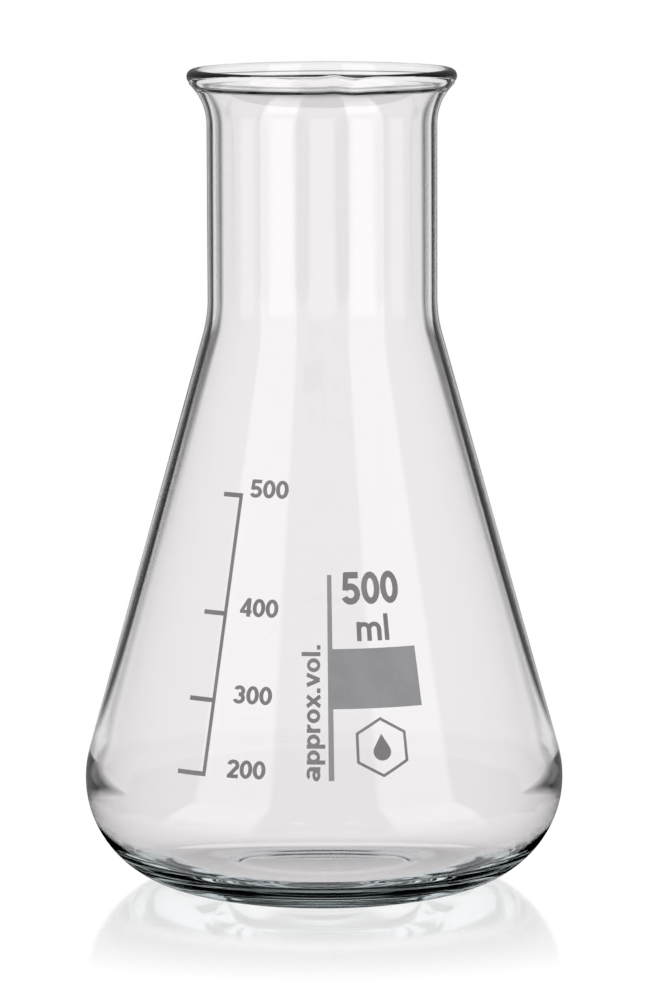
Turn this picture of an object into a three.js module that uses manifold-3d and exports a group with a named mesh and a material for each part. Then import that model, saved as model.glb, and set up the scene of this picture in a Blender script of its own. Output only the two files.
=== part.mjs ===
// A 500 ml wide-neck conical flask: one piece of blown borosilicate glass, with fired enamel print.
// Millimetres, +Z up. The origin is the centre of the foot, on the surface that the flask stands on,
// and the front of the flask faces -Y.
import * as THREE from "three";
import { mergeVertices } from "three/addons/utils/BufferGeometryUtils.js";
import Module from "manifold-3d";

const wasm = await Module();
wasm.setup();

// Glass, outside
const totalHeight = 178.5;
const bodyRadius = 52.5;
const neckRadius = 25;
const heelRadius = 23.1;
const shoulderRadius = 28.5;
const coneAngle = THREE.MathUtils.degToRad(15.6);
const flareRadius = 12.25;
const flareAngle = THREE.MathUtils.degToRad(46);
const beadHeight = 3.2;
const beadRadius = 29.3;

// Glass, inside and underneath
const wall = 1.8;
const baseThickness = 4.4;
const innerHeelRadius = 16;
const footInnerRadius = 22;
const pushUpHeight = 1;
const pushUpSlope = 2.5;
const glassSegments = 60;

// Enamel print
const enamelGap = 0.1;
const enamelThickness = 0.15;
const enamelStep = THREE.MathUtils.degToRad(2);
const letterStroke = 0.17;
const boldStroke = 0.2;

const tau = Math.PI * 2;
const degrees = THREE.MathUtils.degToRad;

// The cone of the body lies between the heel arc and the shoulder arc, tangent to both.
const heelCentreRadius = bodyRadius - heelRadius;
const coneFootRadius = heelCentreRadius + heelRadius * Math.cos(coneAngle);
const coneFootHeight = heelRadius + heelRadius * Math.sin(coneAngle);
const coneTopRadius = neckRadius + shoulderRadius * (1 - Math.cos(coneAngle));
const coneSlant = (coneFootRadius - coneTopRadius) / Math.sin(coneAngle);
const coneTopHeight = coneFootHeight + coneSlant * Math.cos(coneAngle);
const neckFootHeight = coneTopHeight + shoulderRadius * Math.sin(coneAngle);

const part = new THREE.Group();

function material(colour, roughness, options = {}) {
  return new THREE.MeshStandardMaterial({ color: colour, roughness, metalness: 0, ...options });
}

const glass = () => material(0xe6eff0, 0.02, { transparent: true, opacity: 0.35 });
const greyEnamel = () => material(0x8f8e90, 0.55);
const fieldEnamel = () => material(0x9c9ca1, 0.4);

function addPart(name, geometry, finish) {
  const mesh = new THREE.Mesh(geometry, finish);
  mesh.name = name;
  part.add(mesh);
}

// Points of an arc in the (radius, height) half-plane, from one angle to another, both included.
function arcPoints(centreRadius, centreHeight, radius, from, to, steps) {
  return Array.from({ length: steps + 1 }, (_, i) => {
    const angle = from + ((to - from) * i) / steps;
    return new THREE.Vector2(
      centreRadius + radius * Math.cos(angle),
      centreHeight + radius * Math.sin(angle),
    );
  });
}

// Outside of the glass, from the middle of the foot to the underside of the bead.
function outerOutline() {
  const flareFootHeight = totalHeight - beadHeight - flareRadius * Math.sin(flareAngle);
  return [
    new THREE.Vector2(0, pushUpHeight),
    new THREE.Vector2(footInnerRadius - pushUpSlope, pushUpHeight),
    new THREE.Vector2(footInnerRadius, 0),
    ...arcPoints(heelCentreRadius, heelRadius, heelRadius, -Math.PI / 2, coneAngle, 11),
    ...arcPoints(
      neckRadius + shoulderRadius, neckFootHeight, shoulderRadius, Math.PI + coneAngle, Math.PI, 4,
    ),
    ...arcPoints(
      neckRadius + flareRadius, flareFootHeight, flareRadius, Math.PI, Math.PI - flareAngle, 5,
    ),
  ];
}

// The fire-polished bead round the mouth, from its underside over the top to the inner wall.
function beadOutline() {
  const halfHeight = beadHeight / 2;
  const bulge = beadRadius - halfHeight;
  return arcPoints(bulge, totalHeight - halfHeight, halfHeight, -Math.PI / 4, Math.PI * 0.75, 7);
}

// Inside of the glass, from under the bead down to the middle of the floor.
function innerOutline() {
  const innerFlare = flareRadius + wall;
  const innerShoulder = shoulderRadius + wall;
  const flareFootHeight = totalHeight - beadHeight - flareRadius * Math.sin(flareAngle);
  const heelCentreHeight = baseThickness + innerHeelRadius;
  const inset = heelRadius - wall - innerHeelRadius;
  const drop = (heelCentreHeight - heelRadius) * Math.sin(coneAngle);
  const innerHeelCentre = heelCentreRadius + (inset - drop) / Math.cos(coneAngle);
  return [
    ...arcPoints(
      neckRadius + flareRadius, flareFootHeight, innerFlare,
      Math.PI - flareAngle * 0.82, Math.PI, 5,
    ),
    ...arcPoints(
      neckRadius + shoulderRadius, neckFootHeight, innerShoulder, Math.PI, Math.PI + coneAngle, 4,
    ),
    ...arcPoints(
      innerHeelCentre, heelCentreHeight, innerHeelRadius, coneAngle, -Math.PI / 2, 9,
    ),
    new THREE.Vector2(0, baseThickness),
  ];
}

function flaskBody() {
  const outline = [...outerOutline(), ...beadOutline(), ...innerOutline()];
  const geometry = new THREE.LatheGeometry(outline, glassSegments);
  return geometry.rotateX(Math.PI / 2);
}

// A point of the print: azimuth from the front, distance up the slant of the cone, and lift off it.
function onCone(azimuth, slant, lift) {
  const radius = coneFootRadius - slant * Math.sin(coneAngle) + lift * Math.cos(coneAngle);
  const height = coneFootHeight + slant * Math.cos(coneAngle) + lift * Math.sin(coneAngle);
  return new THREE.Vector3(radius * Math.sin(azimuth), -radius * Math.cos(azimuth), height);
}

function slantAt(height) {
  return (height - coneFootHeight) / Math.cos(coneAngle);
}

function radiusAt(height) {
  return coneFootRadius - slantAt(height) * Math.sin(coneAngle);
}

// Bends a flat solid onto the cone: place(x, y) gives the azimuth and slant of a flat point.
function printed(geometry, place) {
  const position = geometry.attributes.position;
  for (let i = 0; i < position.count; i += 1) {
    const [azimuth, slant] = place(position.getX(i), position.getY(i));
    const point = onCone(azimuth, slant, enamelGap + position.getZ(i));
    position.setXYZ(i, point.x, point.y, point.z);
  }
  return geometry;
}

function asSolid(geometry) {
  geometry.deleteAttribute("normal");
  geometry.deleteAttribute("uv");
  const merged = mergeVertices(geometry, 1e-5);
  return new wasm.Manifold(new wasm.Mesh({
    numProp: 3,
    vertProperties: new Float32Array(merged.attributes.position.array),
    triVerts: new Uint32Array(merged.index.array),
  }));
}

function joined(geometries) {
  const solid = geometries.map(asSolid).reduce((whole, piece) => whole.add(piece));
  const mesh = solid.getMesh();
  const geometry = new THREE.BufferGeometry();
  geometry.setAttribute("position", new THREE.BufferAttribute(mesh.vertProperties, 3));
  geometry.setIndex(new THREE.BufferAttribute(mesh.triVerts, 1));
  return geometry;
}

function thickened(shape, curveSegments = 6) {
  return new THREE.ExtrudeGeometry(shape, {
    depth: enamelThickness, bevelEnabled: false, curveSegments,
  });
}

// A straight pen stroke between two points.
function bar(x0, y0, x1, y1, width) {
  const along = new THREE.Vector2(x1 - x0, y1 - y0).normalize().multiplyScalar(width / 2);
  const shape = new THREE.Shape([
    new THREE.Vector2(x0 + along.y, y0 - along.x),
    new THREE.Vector2(x1 + along.y, y1 - along.x),
    new THREE.Vector2(x1 - along.y, y1 + along.x),
    new THREE.Vector2(x0 - along.y, y0 + along.x),
  ]);
  return thickened(shape);
}

// A curved pen stroke along an ellipse, from one angle in degrees to another.
function bow(x, y, radiusX, radiusY, from, to, width) {
  const half = width / 2;
  const start = degrees(from);
  const end = degrees(to);
  const clockwise = end < start;
  const steps = Math.max(3, Math.round(Math.abs(to - from) / 24));
  const edge = (offset) => Array.from({ length: steps + 1 }, (_, i) => {
    const angle = start + ((end - start) * i) / steps;
    return new THREE.Vector2(
      x + (radiusX + offset) * Math.cos(angle),
      y + (radiusY + offset) * Math.sin(angle),
    );
  });
  const outline = [...edge(half), ...edge(-half).reverse()];
  return thickened(new THREE.Shape(clockwise ? outline.reverse() : outline));
}

// A closed oval ring.
function ring(x, y, radiusX, radiusY, width) {
  const half = width / 2;
  const shape = new THREE.Shape();
  shape.absellipse(x, y, radiusX + half, radiusY + half, 0, tau);
  const hole = new THREE.Path();
  hole.absellipse(x, y, radiusX - half, radiusY - half, 0, tau);
  shape.holes.push(hole);
  return thickened(shape, 9);
}

// Glyphs on a capital height of 1. Each gives its strokes and its advance width.
const glyphs = {
  0: (w) => [0.66, [ring(0.32, 0.5, 0.22, 0.4, w)]],
  2: (w) => [0.66, [
    bow(0.31, 0.68, 0.22, 0.22, 170, -42, w),
    bar(0.49, 0.58, 0.12, 0.1, w),
    bar(0.04, 0.1, 0.6, 0.1, w),
  ]],
  3: (w) => [0.66, [
    bow(0.29, 0.7, 0.2, 0.2, 160, -95, w),
    bow(0.29, 0.31, 0.22, 0.21, 95, -160, w),
  ]],
  4: (w) => [0.66, [
    bar(0.45, 0.99, 0.07, 0.25, w * 0.85),
    bar(0.02, 0.27, 0.62, 0.27, w * 0.9),
    bar(0.46, 0, 0.46, 1, w),
  ]],
  5: (w) => [0.66, [
    bar(0.1, 0.9, 0.57, 0.9, w),
    bar(0.15, 0.98, 0.11, 0.44, w * 0.9),
    bow(0.29, 0.33, 0.23, 0.23, 140, -155, w),
  ]],
  a: (w) => [0.64, [
    ring(0.26, 0.21, 0.17, 0.13, w),
    bar(0.5, 0, 0.5, 0.52, w),
    bow(0.31, 0.5, 0.19, 0.15, -5, 150, w),
  ]],
  l: (w) => [0.27, [bar(0.13, 0, 0.13, 1, w)]],
  m: (w) => [1.04, [
    bar(0.13, 0, 0.13, 0.72, w),
    bow(0.32, 0.43, 0.19, 0.2, 185, -5, w),
    bar(0.51, 0, 0.51, 0.45, w),
    bow(0.7, 0.43, 0.19, 0.2, 185, -5, w),
    bar(0.89, 0, 0.89, 0.45, w),
  ]],
  o: (w) => [0.62, [ring(0.3, 0.36, 0.2, 0.27, w)]],
  p: (w) => [0.64, [ring(0.35, 0.36, 0.19, 0.26, w), bar(0.13, -0.26, 0.13, 0.72, w)]],
  r: (w) => [0.42, [bar(0.13, 0, 0.13, 0.72, w), bow(0.34, 0.4, 0.2, 0.22, 170, 80, w)]],
  v: (w) => [0.58, [bar(0.07, 0.72, 0.29, 0.04, w), bar(0.5, 0.72, 0.28, 0.04, w)]],
  x: (w) => [0.58, [bar(0.07, 0.71, 0.49, 0.01, w), bar(0.49, 0.71, 0.07, 0.01, w)]],
  ".": (w) => [0.28, [bar(0.13, 0, 0.13, w * 1.1, w * 1.1)]],
};

// Sets a line of glyphs, each a node of its own. place(x, y) takes millimetres from the line's start.
// stretch widens or narrows the letters.
function addLine(names, text, { height, stroke, stretch }, place) {
  let pen = 0;
  [...text].forEach((character, i) => {
    const [advance, strokes] = glyphs[character](stroke);
    const geometry = strokes.length > 1 ? joined(strokes) : strokes[0];
    const start = pen;
    const bent = printed(geometry, (x, y) => place((start + x) * height * stretch, y * height));
    addPart(names[i], bent, greyEnamel());
    pen += advance;
  });
}

// Volume scale, left of the front: a line up the cone, with a tick and a number for each volume.
const scaleAzimuth = degrees(-30);
const scaleLineWidth = 0.8;
const tickThickness = 0.95;
const tickAngle = degrees(8);
const numberStyle = { height: 3.95, stroke: boldStroke, stretch: 1.13 };
const numberRise = 1.6;
const scaleMarks = [
  { volume: "500", height: 89.5, numberAzimuth: degrees(-26.6) },
  { volume: "400", height: 65, numberAzimuth: degrees(-25.4) },
  { volume: "300", height: 47.1, numberAzimuth: degrees(-24.4) },
  { volume: "200", height: 31.9, numberAzimuth: degrees(-24) },
];

function volumeScale() {
  const lowest = scaleMarks.at(-1).height;
  const length = scaleMarks[0].height - lowest;
  const line = new THREE.BoxGeometry(scaleLineWidth, length, enamelThickness);
  line.translate(0, length / 2 + lowest, enamelThickness / 2);
  const ticks = scaleMarks.map(({ height }) => {
    const width = tickAngle * radiusAt(height);
    const tick = new THREE.BoxGeometry(width, tickThickness, enamelThickness, 3);
    return tick.translate((scaleLineWidth - width) / 2, height, enamelThickness / 2);
  });
  return printed(joined([line, ...ticks]), (x, y) => [scaleAzimuth + x / radiusAt(y), slantAt(y)]);
}

function addScaleNumbers() {
  for (const { volume, height, numberAzimuth } of scaleMarks) {
    const names = [...volume].map((digit, i) => `scale_${volume}_digit_${i + 1}`);
    const foot = slantAt(height + numberRise) - numberStyle.height / 2;
    addLine(names, volume, numberStyle, (x, y) => [numberAzimuth + x / radiusAt(height), foot + y]);
  }
}

// Capacity label, right of the front: a number and unit over a field to write on, beside a rule.
const ruleAzimuth = degrees(1.75);
const ruleWidth = 1.1;
const ruleHeights = [31.6, 73.7];
const fieldRight = degrees(26.2);
const fieldHeights = [46.2, 58.5];
const capacityStyle = { height: 7, stroke: boldStroke, stretch: 0.92 };
const capacityAzimuth = degrees(5.5);
const capacityFoot = 67.5;
const unitStyle = { height: 5.7, stroke: letterStroke, stretch: 1.03 };
const unitAzimuth = degrees(9.1);
const unitFoot = 60;
const noteStyle = { height: 4, stroke: letterStroke, stretch: 1.31 };
const noteFoot = degrees(-0.9);
const noteBottom = 31.5;

// A box along the azimuth, in steps small enough to follow the round of the cone.
function band(fromAzimuth, toAzimuth, bottom, top) {
  const span = toAzimuth - fromAzimuth;
  const steps = Math.max(1, Math.ceil(span / enamelStep));
  const box = new THREE.BoxGeometry(span, top - bottom, enamelThickness, steps, 1);
  return box.translate((fromAzimuth + toAzimuth) / 2, (top + bottom) / 2, enamelThickness / 2);
}

function markingField() {
  const ruleHalf = ruleWidth / 2 / radiusAt(fieldHeights[0]);
  const rule = band(ruleAzimuth - ruleHalf, ruleAzimuth + ruleHalf, ...ruleHeights);
  const field = band(ruleAzimuth, fieldRight, ...fieldHeights);
  return printed(joined([rule, field]), (azimuth, height) => [azimuth, slantAt(height)]);
}

function addCapacity() {
  const digits = ["capacity_digit_1", "capacity_digit_2", "capacity_digit_3"];
  const numberFoot = slantAt(capacityFoot);
  addLine(digits, "500", capacityStyle, (x, y) => [
    capacityAzimuth + x / radiusAt(capacityFoot), numberFoot + y,
  ]);
  const letters = ["unit_letter_m", "unit_letter_l"];
  const unitSlant = slantAt(unitFoot);
  addLine(letters, "ml", unitStyle, (x, y) => [
    unitAzimuth + x / radiusAt(unitFoot), unitSlant + y,
  ]);
}

// The words "approx.vol.", which read upward beside the rule.
function addVolumeNote() {
  const text = "approx.vol.";
  const names = [...text].map((character, i) => `note_letter_${String(i + 1).padStart(2, "0")}`);
  const bottom = slantAt(noteBottom);
  addLine(names, text, noteStyle, (x, y) => {
    const slant = bottom + x;
    return [noteFoot - y / (coneFootRadius - slant * Math.sin(coneAngle)), slant];
  });
}

// Plain emblem under the field: a drop inside a hexagon.
const emblemAzimuth = degrees(14.4);
const emblemHeight = 38.2;
const emblemRadius = 6.4;
const emblemRim = 0.7;
const dropRadius = 1.9;

function hexagon(radius) {
  return Array.from({ length: 6 }, (_, i) => new THREE.Vector2(
    radius * Math.cos((i * tau) / 6 + tau / 12),
    radius * Math.sin((i * tau) / 6 + tau / 12),
  ));
}

function emblemRing() {
  const shape = new THREE.Shape(hexagon(emblemRadius));
  shape.holes.push(new THREE.Path(hexagon(emblemRadius - emblemRim)));
  return thickened(shape);
}

function emblemDrop() {
  const shape = new THREE.Shape();
  const tangent = Math.PI / 6;
  shape.absarc(0, -dropRadius / 2, dropRadius, Math.PI - tangent, tau + tangent, false);
  shape.lineTo(0, dropRadius * 1.5);
  return thickened(shape, 14);
}

function onEmblem(x, y) {
  return [emblemAzimuth + x / radiusAt(emblemHeight), slantAt(emblemHeight) + y];
}

addPart("flask_body", flaskBody(), glass());
addPart("graduation_scale", volumeScale(), greyEnamel());
addScaleNumbers();
addPart("marking_field", markingField(), fieldEnamel());
addCapacity();
addVolumeNote();
addPart("emblem_hexagon", printed(emblemRing(), onEmblem), greyEnamel());
addPart("emblem_drop", printed(emblemDrop(), onEmblem), greyEnamel());

export default part;
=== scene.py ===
"""Erlenmeyer flask, 500 ml: clear blown glass with fired grey enamel print, on a white studio ground."""
import math

import bmesh
import bpy
from mathutils import Matrix, Vector


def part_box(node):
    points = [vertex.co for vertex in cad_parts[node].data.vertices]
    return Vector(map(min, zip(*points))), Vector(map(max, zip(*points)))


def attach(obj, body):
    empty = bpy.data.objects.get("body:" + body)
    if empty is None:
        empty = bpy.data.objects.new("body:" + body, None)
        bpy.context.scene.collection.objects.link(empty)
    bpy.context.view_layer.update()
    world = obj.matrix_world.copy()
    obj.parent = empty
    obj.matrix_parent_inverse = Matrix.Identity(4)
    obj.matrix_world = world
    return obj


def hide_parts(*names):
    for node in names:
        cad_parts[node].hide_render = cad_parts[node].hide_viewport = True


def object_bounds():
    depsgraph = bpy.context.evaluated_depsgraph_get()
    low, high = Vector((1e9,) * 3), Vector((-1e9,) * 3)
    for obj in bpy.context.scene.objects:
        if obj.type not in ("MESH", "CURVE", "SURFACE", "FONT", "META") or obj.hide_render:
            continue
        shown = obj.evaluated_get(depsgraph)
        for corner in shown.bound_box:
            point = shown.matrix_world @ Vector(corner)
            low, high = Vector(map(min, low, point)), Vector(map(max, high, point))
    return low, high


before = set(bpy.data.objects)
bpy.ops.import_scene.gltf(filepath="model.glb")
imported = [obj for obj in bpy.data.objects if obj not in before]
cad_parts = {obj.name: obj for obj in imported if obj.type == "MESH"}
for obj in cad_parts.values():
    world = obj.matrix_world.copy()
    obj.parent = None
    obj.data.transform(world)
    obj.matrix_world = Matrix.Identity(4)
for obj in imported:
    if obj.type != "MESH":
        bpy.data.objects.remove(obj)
cad_box = [list(corner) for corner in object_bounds()]

MM = 0.001
GLASS_NODE = "flask_body"

# The flask's outline, in metres. Height and width come from the CAD body.
GLASS_LOW, GLASS_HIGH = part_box(GLASS_NODE)
TOTAL_HEIGHT = GLASS_HIGH[2]
BODY_RADIUS = 52.5 * MM
NECK_RADIUS = 25 * MM
HEEL_RADIUS = 23.1 * MM
SHOULDER_RADIUS = 28.5 * MM
CONE_ANGLE = math.radians(15.6)
FLARE_RADIUS = 12.25 * MM
FLARE_ANGLE = math.radians(46)
BEAD_HEIGHT = 3.2 * MM
BEAD_RADIUS = 29.3 * MM
WALL = 1.8 * MM
BASE_THICKNESS = 4.4 * MM
INNER_HEEL_RADIUS = 16 * MM
FOOT_INNER_RADIUS = 22 * MM
PUSH_UP = 1 * MM
PUSH_UP_SLOPE = 5 * MM
GLASS_SEGMENTS = 240
FLARE_INNER_SHARE = 0.82

# The rim was worked by hand, and rises and dips a little at the front right
RIM_RISE = 0.35 * MM
RIM_RISE_AZIMUTH = math.radians(5)
RIM_RISE_WIDTH = math.radians(4)
RIM_DIP = 0.25 * MM
RIM_DIP_AZIMUTH = math.radians(15)
RIM_DIP_WIDTH = math.radians(5)

# The cone between the heel and the shoulder
HEEL_CENTRE = BODY_RADIUS - HEEL_RADIUS
CONE_FOOT_RADIUS = HEEL_CENTRE + HEEL_RADIUS * math.cos(CONE_ANGLE)
CONE_FOOT_HEIGHT = HEEL_RADIUS * (1 + math.sin(CONE_ANGLE))
CONE_TOP_RADIUS = NECK_RADIUS + SHOULDER_RADIUS * (1 - math.cos(CONE_ANGLE))
CONE_TOP_HEIGHT = CONE_FOOT_HEIGHT + (CONE_FOOT_RADIUS - CONE_TOP_RADIUS) / math.tan(CONE_ANGLE)
NECK_FOOT_HEIGHT = CONE_TOP_HEIGHT + SHOULDER_RADIUS * math.sin(CONE_ANGLE)
FLARE_FOOT_HEIGHT = TOTAL_HEIGHT - BEAD_HEIGHT - FLARE_RADIUS * math.sin(FLARE_ANGLE)

# Clear glass
GLASS_TINT = (0.967, 0.950, 0.959)
GLASS_IOR = 1.473
GLASS_ABSORPTION = (0.72, 0.9, 0.93)
GLASS_ABSORPTION_DENSITY = 9.0

# Enamel film on the glass: its lift, how finely it is cut, and its darker and lighter colours
FILM_FOOT = 0.01 * MM
FILM_TOP = 0.06 * MM
FILM_STEP = 0.8 * MM
FILM_CUTS = 5
MERGE_DISTANCE = 0.002 * MM
GREY_ENAMEL = ((0.165, 0.16, 0.157), (0.24, 0.235, 0.23))
FIELD_ENAMEL = ((0.25, 0.25, 0.26), (0.31, 0.31, 0.325))
PATCH_SHARE = 0.55

# Camera
CAMERA_DISTANCE = 1.127
CAMERA_HEIGHT = 0.243
CAMERA_PITCH = math.radians(8.02)
CAMERA_ROLL = math.radians(-0.2)
CAMERA_LENS = 187.2
CAMERA_SHIFT_X = 0.0053

# Light: strengths of the white world, and upright bands in it given by their azimuths round the flask.
# Windows are the white gaps between the dark flags.
DIFFUSE_STRENGTH = 1.3
WINDOW_PERIOD = math.radians(45)
WINDOW_HALF = math.radians(12)
WINDOW_SOFTNESS = math.radians(4)
# The through strength also sets the white of the windows that the floor paints between its painted flag
# shade.
THROUGH_STRENGTH = 0.98
FLAG_SHADE = 0.003
CEILING_FADE = (0.0, 0.06)
# The mirror shade and softboxes also set the floor's painted reflection.
MIRROR_SHADE = 0.22
SOFTBOX_PERIOD = math.radians(90)
SOFTBOX_HALF = math.radians(19)
SOFTBOX_SOFTNESS = math.radians(3)
SOFTBOX_STRENGTH = 2.8

# Floor: the fades are distances from the middle of the flask
FLOOR_RADIUS = 6.0
FLOOR_GAP = 0.05 * MM
FLOOR_WHITE = 0.72
FLOOR_ROUGHNESS = 0.1
FLOOR_GLOW = 0.19
# Half width of the white windows between the dark flag bands that the floor paints as shade, seen through
# the glass
FLOOR_PAINTED_WINDOW_HALF_WIDTH = 0.045
# Where the painted shade round the heel, in what the glass mirrors of the floor, fades out
HEEL_SHADE_FADE = (0.08, 0.13)
GROUND_FADE = (0.06, 0.1)


# ---------------------------------------------------------------- node helpers
class Nodes:
    """A material's or world's node tree, with short calls for the nodes this scene uses."""

    def __init__(self, owner):
        owner.use_nodes = True
        self.tree = owner.node_tree
        self.tree.nodes.clear()

    def add(self, kind, **settings):
        node = self.tree.nodes.new(kind)
        for name, value in settings.items():
            setattr(node, name, value)
        return node

    def link(self, source, target):
        self.tree.links.new(source, target)

    def math(self, operation, first, second=None, clamp=False):
        node = self.add("ShaderNodeMath", operation=operation, use_clamp=clamp)
        for socket, value in zip(node.inputs, (first, second)):
            if value is None:
                continue
            if isinstance(value, (int, float)):
                socket.default_value = value
            else:
                self.link(value, socket)
        return node.outputs[0]

    def noise(self, scale, detail=3.0, stretch=(1, 1, 1)):
        place = self.add("ShaderNodeTexCoord")
        mapping = self.add("ShaderNodeMapping")
        mapping.inputs["Scale"].default_value = stretch
        noise = self.add("ShaderNodeTexNoise")
        noise.inputs["Scale"].default_value = scale
        noise.inputs["Detail"].default_value = detail
        self.link(place.outputs["Object"], mapping.inputs["Vector"])
        self.link(mapping.outputs["Vector"], noise.inputs["Vector"])
        return noise.outputs["Fac"]

    def ramp(self, factor, low, high, span=(0.3, 0.7)):
        node = self.add("ShaderNodeMapRange")
        node.inputs["From Min"].default_value = span[0]
        node.inputs["From Max"].default_value = span[1]
        node.inputs["To Min"].default_value = low
        node.inputs["To Max"].default_value = high
        self.link(factor, node.inputs["Value"])
        return node.outputs[0]

    def bump(self, height, strength, distance):
        node = self.add("ShaderNodeBump")
        node.inputs["Strength"].default_value = strength
        node.inputs["Distance"].default_value = distance
        self.link(height, node.inputs["Height"])
        return node.outputs[0]


# ---------------------------------------------------------------- materials
def glass_material():
    """Clear borosilicate glass, faintly uneven where it was blown and turned."""
    material = bpy.data.materials.new("clear_glass")
    nodes = Nodes(material)
    shader = nodes.add("ShaderNodeBsdfPrincipled")
    shader.inputs["Base Color"].default_value = (*GLASS_TINT, 1)
    shader.inputs["Roughness"].default_value = 0.0
    shader.inputs["IOR"].default_value = GLASS_IOR
    shader.inputs["Transmission Weight"].default_value = 1.0
    waviness = nodes.noise(38.0, detail=1.0, stretch=(1, 1, 0.22))
    nodes.link(nodes.bump(waviness, 0.12, 0.4 * MM), shader.inputs["Normal"])
    absorb = nodes.add("ShaderNodeVolumeAbsorption")
    absorb.inputs["Color"].default_value = (*GLASS_ABSORPTION, 1)
    absorb.inputs["Density"].default_value = GLASS_ABSORPTION_DENSITY
    output = nodes.add("ShaderNodeOutputMaterial")
    nodes.link(shader.outputs[0], output.inputs["Surface"])
    nodes.link(absorb.outputs[0], output.inputs["Volume"])
    return material


def enamel_material(name, colours, rough, grain):
    """Fired enamel: a fine powdery grain, small uneven patches, and a satin surface."""
    material = bpy.data.materials.new(name)
    nodes = Nodes(material)
    shader = nodes.add("ShaderNodeBsdfPrincipled")
    patches = nodes.noise(160.0, detail=2.0)
    speckle = nodes.noise(2600.0, detail=2.0)
    mixed = nodes.math(
        "ADD", nodes.math("MULTIPLY", patches, PATCH_SHARE), nodes.math("MULTIPLY", speckle, 1 - PATCH_SHARE)
    )
    colour = nodes.add("ShaderNodeMix", data_type="RGBA")
    colour.inputs["A"].default_value = (*colours[0], 1)
    colour.inputs["B"].default_value = (*colours[1], 1)
    nodes.link(nodes.ramp(mixed, 0, 1), colour.inputs["Factor"])
    nodes.link(colour.outputs["Result"], shader.inputs["Base Color"])
    nodes.link(nodes.ramp(speckle, rough - 0.08, rough + 0.08), shader.inputs["Roughness"])
    nodes.link(nodes.bump(speckle, grain, 0.03 * MM), shader.inputs["Normal"])
    output = nodes.add("ShaderNodeOutputMaterial")
    nodes.link(shader.outputs[0], output.inputs["Surface"])
    return material


# ---------------------------------------------------------------- glass
def arc(centre_radius, centre_height, radius, start, end, steps):
    """Points of an arc in the (radius, height) half-plane, both ends included."""
    angles = (start + (end - start) * i / steps for i in range(steps + 1))
    return [(centre_radius + radius * math.cos(a), centre_height + radius * math.sin(a)) for a in angles]


def line(start, end, steps):
    """Points between two points, ends left out."""
    return [
        (start[0] + (end[0] - start[0]) * i / steps, start[1] + (end[1] - start[1]) * i / steps)
        for i in range(1, steps)
    ]


def push_up_outline():
    """The underside from its middle to the foot ring: a shallow dish with a soft edge."""
    flat = FOOT_INNER_RADIUS - PUSH_UP_SLOPE
    steps = 10
    points = [(0, PUSH_UP)]
    for i in range(steps + 1):
        share = i / steps
        height = PUSH_UP * (0.5 + 0.5 * math.cos(math.pi * share))
        points.append((flat + PUSH_UP_SLOPE * share, height))
    return points


def outer_outline():
    heel = arc(HEEL_CENTRE, HEEL_RADIUS, HEEL_RADIUS, -math.pi / 2, CONE_ANGLE, 40)
    shoulder = arc(
        NECK_RADIUS + SHOULDER_RADIUS, NECK_FOOT_HEIGHT, SHOULDER_RADIUS, math.pi + CONE_ANGLE, math.pi, 14
    )
    flare = arc(
        NECK_RADIUS + FLARE_RADIUS, FLARE_FOOT_HEIGHT, FLARE_RADIUS, math.pi, math.pi - FLARE_ANGLE, 18
    )
    return [
        *push_up_outline(),
        *heel,
        *line(heel[-1], shoulder[0], 24),
        *shoulder,
        *line(shoulder[-1], flare[0], 14),
        *flare,
    ]


def bead_outline():
    half = BEAD_HEIGHT / 2
    return arc(BEAD_RADIUS - half, TOTAL_HEIGHT - half, half, -math.pi / 4, math.pi * 0.75, 20)


def inner_outline():
    flare = arc(
        NECK_RADIUS + FLARE_RADIUS, FLARE_FOOT_HEIGHT, FLARE_RADIUS + WALL,
        math.pi - FLARE_ANGLE * FLARE_INNER_SHARE, math.pi, 18,
    )
    shoulder = arc(
        NECK_RADIUS + SHOULDER_RADIUS, NECK_FOOT_HEIGHT, SHOULDER_RADIUS + WALL,
        math.pi, math.pi + CONE_ANGLE, 14,
    )
    centre_height = BASE_THICKNESS + INNER_HEEL_RADIUS
    inset = HEEL_RADIUS - WALL - INNER_HEEL_RADIUS
    drop = (centre_height - HEEL_RADIUS) * math.sin(CONE_ANGLE)
    centre = HEEL_CENTRE + (inset - drop) / math.cos(CONE_ANGLE)
    heel = arc(centre, centre_height, INNER_HEEL_RADIUS, CONE_ANGLE, -math.pi / 2, 36)
    return [
        *flare,
        *line(flare[-1], shoulder[0], 14),
        *shoulder,
        *line(shoulder[-1], heel[0], 24),
        *heel,
        (0, BASE_THICKNESS),
    ]


def rim_wave(azimuth, height):
    """How far the glass is lifted at an azimuth. It fades out within two bead heights of the rim."""
    near_rim = max(0.0, 1 - (TOTAL_HEIGHT - height) / (2 * BEAD_HEIGHT))
    rise = RIM_RISE * math.exp(-((azimuth - RIM_RISE_AZIMUTH) / RIM_RISE_WIDTH) ** 2)
    dip = RIM_DIP * math.exp(-((azimuth - RIM_DIP_AZIMUTH) / RIM_DIP_WIDTH) ** 2)
    return near_rim * (rise - dip)


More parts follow.
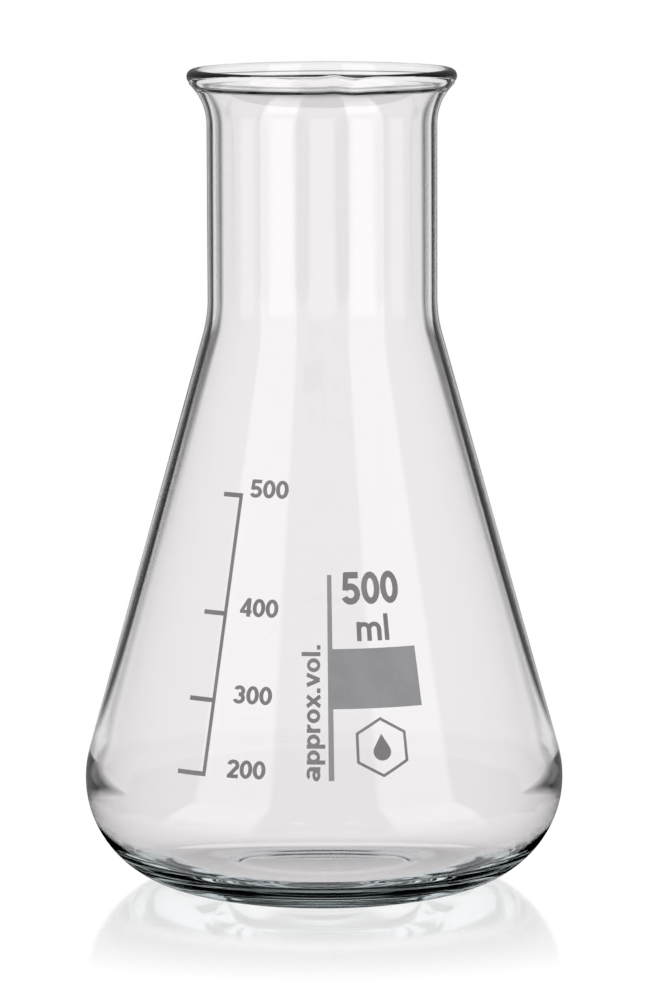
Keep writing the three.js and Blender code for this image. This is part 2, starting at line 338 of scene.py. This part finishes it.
def glass_piece():
    """The blown flask, turned from its outline."""
    outline = [*outer_outline(), *bead_outline(), *inner_outline()]
    mesh = bmesh.new()
    first = mesh.verts.new((0, 0, outline[0][1]))
    last = mesh.verts.new((0, 0, outline[-1][1]))
    rings = []
    for radius, height in outline[1:-1]:
        turn = []
        for i in range(GLASS_SEGMENTS):
            azimuth = 2 * math.pi * i / GLASS_SEGMENTS - math.pi
            lift = rim_wave(azimuth, height)
            place = (radius * math.sin(azimuth), -radius * math.cos(azimuth), height + lift)
            turn.append(mesh.verts.new(place))
        rings.append(turn)
    for i in range(GLASS_SEGMENTS):
        j = (i + 1) % GLASS_SEGMENTS
        mesh.faces.new((first, rings[0][j], rings[0][i]))
        for low, high in zip(rings, rings[1:]):
            mesh.faces.new((low[i], low[j], high[j], high[i]))
        mesh.faces.new((last, rings[-1][i], rings[-1][j]))
    bmesh.ops.recalc_face_normals(mesh, faces=mesh.faces)
    data = bpy.data.meshes.new("glass_flask")
    mesh.to_mesh(data)
    mesh.free()
    data.shade_smooth()
    data.materials.append(glass_material())
    piece = bpy.data.objects.new("glass_flask", data)
    bpy.context.scene.collection.objects.link(piece)
    piece.visible_shadow = False
    piece.visible_diffuse = False
    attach(piece, "root")
    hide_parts(GLASS_NODE)


# ---------------------------------------------------------------- enamel
def flat_from_cone(point):
    """Azimuth, slant and lift of a point, counted from the foot of the cone."""
    radius = math.hypot(point.x, point.y)
    azimuth = math.atan2(point.x, -point.y)
    out = radius - CONE_FOOT_RADIUS
    up = point.z - CONE_FOOT_HEIGHT
    slant = up * math.cos(CONE_ANGLE) - out * math.sin(CONE_ANGLE)
    lift = up * math.sin(CONE_ANGLE) + out * math.cos(CONE_ANGLE)
    return azimuth, slant, lift


def cone_from_flat(azimuth, slant, lift):
    radius = CONE_FOOT_RADIUS - slant * math.sin(CONE_ANGLE) + lift * math.cos(CONE_ANGLE)
    height = CONE_FOOT_HEIGHT + slant * math.cos(CONE_ANGLE) + lift * math.sin(CONE_ANGLE)
    return Vector((radius * math.sin(azimuth), -radius * math.cos(azimuth), height))


def enamel_piece(node, material):
    """A thin film on the glass, cut finely enough to follow it, from the CAD node's own outline."""
    mesh = bmesh.new()
    mesh.from_mesh(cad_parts[node].data)
    bmesh.ops.remove_doubles(mesh, verts=mesh.verts, dist=MERGE_DISTANCE)
    flat = [flat_from_cone(vertex.co) for vertex in mesh.verts]
    middle = (min(f[2] for f in flat) + max(f[2] for f in flat)) / 2
    for vertex, (azimuth, slant, lift) in zip(mesh.verts, flat):
        film = FILM_TOP if lift > middle else FILM_FOOT
        vertex.co = (azimuth * CONE_FOOT_RADIUS, slant, film)
    for _ in range(FILM_CUTS):
        long_edges = [edge for edge in mesh.edges if edge.calc_length() > FILM_STEP]
        if not long_edges:
            break
        bmesh.ops.subdivide_edges(mesh, edges=long_edges, cuts=1)
        bmesh.ops.triangulate(mesh, faces=[face for face in mesh.faces if len(face.verts) > 4])
    for vertex in mesh.verts:
        vertex.co = cone_from_flat(vertex.co.x / CONE_FOOT_RADIUS, vertex.co.y, vertex.co.z)
    bmesh.ops.recalc_face_normals(mesh, faces=mesh.faces)
    name = "enamel_" + node
    data = bpy.data.meshes.new(name)
    mesh.to_mesh(data)
    mesh.free()
    data.materials.append(material)
    piece = bpy.data.objects.new(name, data)
    bpy.context.scene.collection.objects.link(piece)
    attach(piece, "root")
    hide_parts(node)


def enamel_pieces():
    grey = enamel_material("grey_enamel_print", GREY_ENAMEL, 0.5, 0.25)
    field = enamel_material("field_enamel_print", FIELD_ENAMEL, 0.42, 0.2)
    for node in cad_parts:
        if node == GLASS_NODE:
            continue
        if node == "marking_field":
            enamel_piece(node, field)
        else:
            enamel_piece(node, grey)


# ---------------------------------------------------------------- studio
def stripes(nodes, x, y, period, half, softness, start=0.0):
    """1 in upright bands that repeat round the flask, and 0 between them."""
    azimuth = nodes.math("ARCTAN2", x, y)
    turned = nodes.math("ADD", azimuth, period / 2 - start + 4 * math.pi)
    offset = nodes.math("SUBTRACT", nodes.math("MODULO", turned, period), period / 2)
    from_edge = nodes.math("SUBTRACT", half, nodes.math("ABSOLUTE", offset))
    return nodes.math("ADD", nodes.math("DIVIDE", from_edge, softness), 0.5, clamp=True)


def flag_windows(nodes, x, y, half=WINDOW_HALF):
    return stripes(nodes, x, y, WINDOW_PERIOD, half, WINDOW_SOFTNESS)


def kinds_of_ray(nodes):
    """1 for rays from the camera, for rays that passed through glass, and for rays that glass mirrored."""
    path = nodes.add("ShaderNodeLightPath")
    through = path.outputs["Is Transmission Ray"]
    mirrored = nodes.math("SUBTRACT", path.outputs["Is Singular Ray"], through, clamp=True)
    return path.outputs["Is Camera Ray"], through, mirrored


def mirrored_light(nodes, x, y):
    """What the outside of the glass mirrors: a dim room, and two softboxes in front. The world gives it as
    light; the floor paints it as a painted reflection.
    """
    softboxes = stripes(
        nodes, x, y, SOFTBOX_PERIOD, SOFTBOX_HALF, SOFTBOX_SOFTNESS, start=SOFTBOX_PERIOD / 2
    )
    in_front = nodes.math("MULTIPLY", softboxes, nodes.math("LESS_THAN", y, 0.0))
    return nodes.ramp(in_front, MIRROR_SHADE, SOFTBOX_STRENGTH, (0, 1))


def studio_world():
    """White all round. The glass shows dark flags and a dark ceiling, and mirrors two softboxes."""
    world = bpy.data.worlds.new("studio")
    bpy.context.scene.world = world
    nodes = Nodes(world)
    place = nodes.add("ShaderNodeTexCoord")
    split = nodes.add("ShaderNodeSeparateXYZ")
    nodes.link(place.outputs["Generated"], split.inputs[0])
    x, y = split.outputs["X"], split.outputs["Y"]
    seen_directly, through, mirrored = kinds_of_ray(nodes)
    seen = nodes.math("ADD", seen_directly, nodes.math("ADD", mirrored, through), clamp=True)
    under_ceiling = nodes.ramp(split.outputs["Z"], 1, 0, CEILING_FADE)
    windows = nodes.math("MULTIPLY", flag_windows(nodes, x, y), under_ceiling)
    shares = (
        (seen_directly, 1.0),
        (nodes.math("SUBTRACT", 1.0, seen), DIFFUSE_STRENGTH),
        (mirrored, mirrored_light(nodes, x, y)),
        (through, nodes.ramp(windows, FLAG_SHADE, THROUGH_STRENGTH, (0, 1))),
    )
    strength = 0.0
    for share, light in shares:
        strength = nodes.math("MAXIMUM", nodes.math("MULTIPLY", share, light), strength)
    background = nodes.add("ShaderNodeBackground")
    nodes.link(strength, background.inputs["Strength"])
    output = nodes.add("ShaderNodeOutputWorld")
    nodes.link(background.outputs[0], output.inputs["Surface"])


def floor_material():
    """Smooth white acrylic that fades to plain white away from the flask. Seen through the glass it shows
    painted shade, dark bands between the windows, and what the glass mirrors in it is a painted reflection
    of the room's light, with painted shade at the heel."""
    material = bpy.data.materials.new("white_acrylic_with_painted_light")
    nodes = Nodes(material)
    shader = nodes.add("ShaderNodeBsdfPrincipled")
    shader.inputs["Base Color"].default_value = (FLOOR_WHITE, FLOOR_WHITE, FLOOR_WHITE, 1)
    shader.inputs["Emission Color"].default_value = (1, 1, 1, 1)
    shader.inputs["Emission Strength"].default_value = FLOOR_GLOW
    shader.inputs["Roughness"].default_value = FLOOR_ROUGHNESS
    place = nodes.add("ShaderNodeTexCoord")
    split = nodes.add("ShaderNodeSeparateXYZ")
    nodes.link(place.outputs["Object"], split.inputs[0])
    x, y = split.outputs["X"], split.outputs["Y"]
    squares = nodes.math("ADD", nodes.math("MULTIPLY", x, x), nodes.math("MULTIPLY", y, y))
    radius = nodes.math("SQRT", squares)
    # Seen through the glass, the floor paints shade: dark flag bands between white windows, widened near the
    # flask.
    half = nodes.math("ADD", nodes.math("DIVIDE", FLOOR_PAINTED_WINDOW_HALF_WIDTH, radius), WINDOW_HALF)
    seen_directly, through, mirrored = kinds_of_ray(nodes)
    faded = nodes.math("MULTIPLY", seen_directly, nodes.ramp(radius, 0, 1, GROUND_FADE))
    windows = nodes.math("MULTIPLY", flag_windows(nodes, x, y, half), THROUGH_STRENGTH)
    # What the glass mirrors in the floor is a painted reflection: dim room light and two bright softbox
    # bands, with painted shade in a ring round the heel.
    painted_reflection = nodes.math("MULTIPLY", mirrored_light(nodes, x, y), nodes.ramp(radius, 0, 1, HEEL_SHADE_FADE))
    windows = nodes.math("MULTIPLY", windows, through)
    painted_reflection = nodes.math("MULTIPLY", painted_reflection, mirrored)
    light = nodes.math("MAXIMUM", nodes.math("ADD", windows, painted_reflection), seen_directly)
    # The emission replaces the acrylic where it shows painted light: through the glass, mirrored by it, and
    # as plain white away from the flask.
    replaced = nodes.math("MAXIMUM", nodes.math("MAXIMUM", through, mirrored), faded)
    shown = nodes.add("ShaderNodeEmission")
    nodes.link(light, shown.inputs["Strength"])
    mix = nodes.add("ShaderNodeMixShader")
    nodes.link(replaced, mix.inputs["Fac"])
    nodes.link(shader.outputs[0], mix.inputs[1])
    nodes.link(shown.outputs[0], mix.inputs[2])
    output = nodes.add("ShaderNodeOutputMaterial")
    nodes.link(mix.outputs[0], output.inputs["Surface"])
    return material


def studio_floor():
    mesh = bmesh.new()
    bmesh.ops.create_circle(mesh, cap_ends=True, segments=96, radius=FLOOR_RADIUS)
    data = bpy.data.meshes.new("floor")
    mesh.to_mesh(data)
    mesh.free()
    data.materials.append(floor_material())
    floor = bpy.data.objects.new("floor", data)
    floor.location.z = cad_box[0][2] - FLOOR_GAP
    bpy.context.scene.collection.objects.link(floor)


def camera():
    data = bpy.data.cameras.new("camera")
    data.lens = CAMERA_LENS
    data.shift_x = CAMERA_SHIFT_X
    data.clip_start = 0.05
    data.clip_end = 50.0
    view = bpy.data.objects.new("camera", data)
    tilt = Matrix.Rotation(math.pi / 2 - CAMERA_PITCH, 4, "X")
    roll = Matrix.Rotation(CAMERA_ROLL, 4, "Z")
    view.matrix_world = Matrix.Translation((0, -CAMERA_DISTANCE, CAMERA_HEIGHT)) @ tilt @ roll
    bpy.context.scene.collection.objects.link(view)
    bpy.context.scene.camera = view


def film():
    """A plain transfer curve, so that the ground stays white, and enough bounces for the glass."""
    scene = bpy.context.scene
    scene.view_settings.view_transform = "Standard"
    scene.cycles.max_bounces = 32
    scene.cycles.transmission_bounces = 32
    scene.cycles.glossy_bounces = 16


camera()
film()
studio_world()
studio_floor()
glass_piece()
enamel_pieces()
